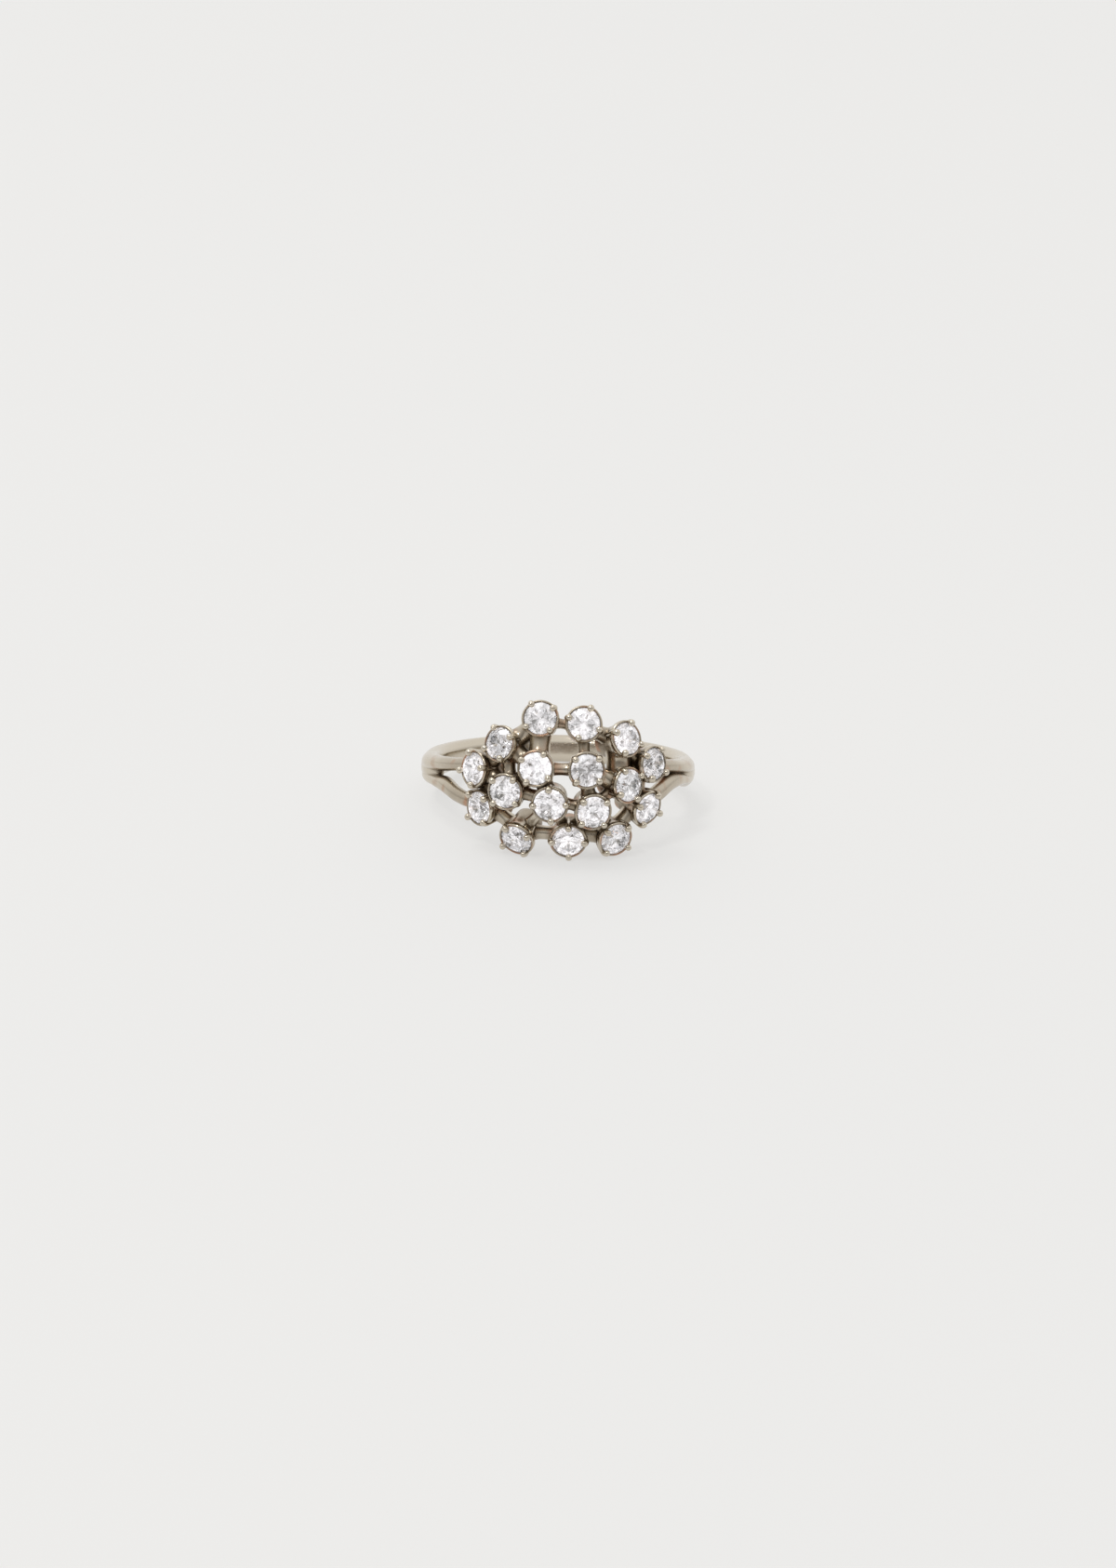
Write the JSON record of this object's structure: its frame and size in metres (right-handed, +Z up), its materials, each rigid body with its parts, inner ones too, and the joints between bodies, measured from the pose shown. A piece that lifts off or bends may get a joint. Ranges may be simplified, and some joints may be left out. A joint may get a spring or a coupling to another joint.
{
  "type": "cluster ring",
  "caption": "Finger ring: a low oval dome of claw-set round brilliants in small joined cups, on a band whose shoulders fork; shown lying as it rests by itself.",
  "frame": {"origin": "on the surface that the ring lies on, under the middle of its box", "axes": "+X across the finger, -Y the way the stones face, +Z up from the surface; the finger's axis leans 10.5 degrees back from +Z"},
  "size_m": [0.0202, 0.0224, 0.0113],
  "materials": {
    "white_gold": "worn polish",
    "diamond": "faceted and polished"
  },
  "bodies": {
    "root": {"ring_mount": "white_gold", "stone_01": "diamond", "stone_02": "diamond", "stone_03": "diamond", "stone_04": "diamond", "stone_05": "diamond", "stone_06": "diamond", "stone_07": "diamond", "stone_08": "diamond", "stone_09": "diamond", "stone_10": "diamond", "stone_11": "diamond", "stone_12": "diamond", "stone_13": "diamond", "stone_14": "diamond", "stone_15": "diamond", "stone_16": "diamond", "stone_17": "diamond"}
  },
  "joints": []
}
